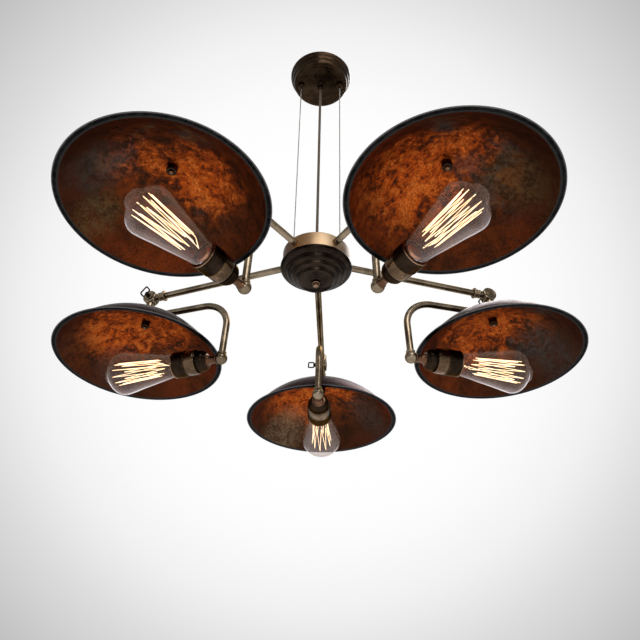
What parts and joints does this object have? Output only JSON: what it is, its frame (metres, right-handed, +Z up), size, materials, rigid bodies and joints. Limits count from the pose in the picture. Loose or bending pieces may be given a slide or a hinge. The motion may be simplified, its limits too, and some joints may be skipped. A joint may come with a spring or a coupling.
{
  "type": "chandelier",
  "caption": "Industrial ceiling light: dark rose, wire-hung brass hub and straight arms, each with a tilting spun dish shade over a sideways clear filament bulb.",
  "frame": {"origin": "centre of the ceiling bracket's top face, on the vertical axis, in the ceiling plane", "axes": "+Z up, against the ceiling; +Y away from the viewer's side, along the arm of lamp 1; +X to the right as seen from the viewer's side"},
  "size_m": [0.7926, 0.766, 0.6196],
  "materials": {
    "zinc_steel": "zinc plated",
    "dark_bronze": "dark bronze patina, satin",
    "dark_steel": "blackened, satin",
    "bright_steel": "bright",
    "brown_flex": "brown sheath, matt",
    "antique_brass": "antique brass, satin",
    "aged_brass": "aged brass, satin",
    "bronze_brass": "dark bronze with a brass band",
    "patina_steel": "red-brown and blue-grey patina inside, dark bronze outside",
    "warm_filament": "brass cap with a glowing filament",
    "clear_glass": "clear, faintly warm"
  },
  "bodies": {
    "frame": {"ceiling_bracket": "zinc_steel", "ceiling_rose": "dark_bronze", "rose_wire_grip_left": "dark_bronze", "rose_wire_grip_right": "dark_bronze", "wire_left": "bright_steel", "wire_right": "bright_steel", "flex": "brown_flex", "hub_drum": "antique_brass", "hub_cover": "dark_bronze", "hub_finial": "antique_brass", "arm_1": "aged_brass", "knuckle_1": "aged_brass", "arm_2": "aged_brass", "knuckle_2": "aged_brass", "arm_3": "aged_brass", "knuckle_3": "aged_brass", "arm_4": "aged_brass", "knuckle_4": "aged_brass", "arm_5": "aged_brass", "knuckle_5": "aged_brass"},
    "lamp_1": {"swivel_1": "aged_brass", "lamp_bar_1": "aged_brass", "lamp_holder_1": "bronze_brass", "bulb_core_1": "warm_filament", "bulb_glass_1": "clear_glass", "shade_1": "patina_steel", "shade_nut_1": "dark_steel"},
    "key_1": {"wing_key_1": "dark_steel"},
    "lamp_2": {"swivel_2": "aged_brass", "lamp_bar_2": "aged_brass", "lamp_holder_2": "bronze_brass", "bulb_core_2": "warm_filament", "bulb_glass_2": "clear_glass", "shade_2": "patina_steel", "shade_nut_2": "dark_steel"},
    "key_2": {"wing_key_2": "dark_steel"},
    "lamp_3": {"swivel_3": "aged_brass", "lamp_bar_3": "aged_brass", "lamp_holder_3": "bronze_brass", "bulb_core_3": "warm_filament", "bulb_glass_3": "clear_glass", "shade_3": "patina_steel", "shade_nut_3": "dark_steel"},
    "key_3": {"wing_key_3": "dark_steel"},
    "lamp_4": {"swivel_4": "aged_brass", "lamp_bar_4": "aged_brass", "lamp_holder_4": "bronze_brass", "bulb_core_4": "warm_filament", "bulb_glass_4": "clear_glass", "shade_4": "patina_steel", "shade_nut_4": "dark_steel"},
    "key_4": {"wing_key_4": "dark_steel"},
    "lamp_5": {"swivel_5": "aged_brass", "lamp_bar_5": "aged_brass", "lamp_holder_5": "bronze_brass", "bulb_core_5": "warm_filament", "bulb_glass_5": "clear_glass", "shade_5": "patina_steel", "shade_nut_5": "dark_steel"},
    "key_5": {"wing_key_5": "dark_steel"}
  },
  "joints": [
    {"name": "lamp_1_tilt", "type": "hinge", "parent": "frame", "child": "lamp_1", "pos_m": [0, 0.28, -0.452], "axis": [1, 0, 0], "range_deg": [-14.5, 87.5]},
    {"name": "key_1_turn", "type": "hinge", "parent": "frame", "child": "key_1", "pos_m": [0, 0.28, -0.452], "axis": [-1, 0, 0], "range_deg": [0, 180]},
    {"name": "lamp_2_tilt", "type": "hinge", "parent": "frame", "child": "lamp_2", "pos_m": [-0.2663, 0.08652, -0.452], "axis": [0.309, 0.9511, 0], "range_deg": [-14.5, 87.5]},
    {"name": "key_2_turn", "type": "hinge", "parent": "frame", "child": "key_2", "pos_m": [-0.2663, 0.08652, -0.452], "axis": [-0.309, -0.9511, 0], "range_deg": [0, 180]},
    {"name": "lamp_3_tilt", "type": "hinge", "parent": "frame", "child": "lamp_3", "pos_m": [-0.16458, -0.22652, -0.452], "axis": [-0.809, 0.5878, 0], "range_deg": [-14.5, 87.5]},
    {"name": "key_3_turn", "type": "hinge", "parent": "frame", "child": "key_3", "pos_m": [-0.16458, -0.22652, -0.452], "axis": [0.809, -0.5878, 0], "range_deg": [0, 180]},
    {"name": "lamp_4_tilt", "type": "hinge", "parent": "frame", "child": "lamp_4", "pos_m": [0.16458, -0.22652, -0.452], "axis": [-0.809, -0.5878, 0], "range_deg": [-14.5, 87.5]},
    {"name": "key_4_turn", "type": "hinge", "parent": "frame", "child": "key_4", "pos_m": [0.16458, -0.22652, -0.452], "axis": [0.809, 0.5878, 0], "range_deg": [0, 180]},
    {"name": "lamp_5_tilt", "type": "hinge", "parent": "frame", "child": "lamp_5", "pos_m": [0.2663, 0.08652, -0.452], "axis": [0.309, -0.9511, 0], "range_deg": [-14.5, 87.5]},
    {"name": "key_5_turn", "type": "hinge", "parent": "frame", "child": "key_5", "pos_m": [0.2663, 0.08652, -0.452], "axis": [-0.309, 0.9511, 0], "range_deg": [0, 180]}
  ]
}
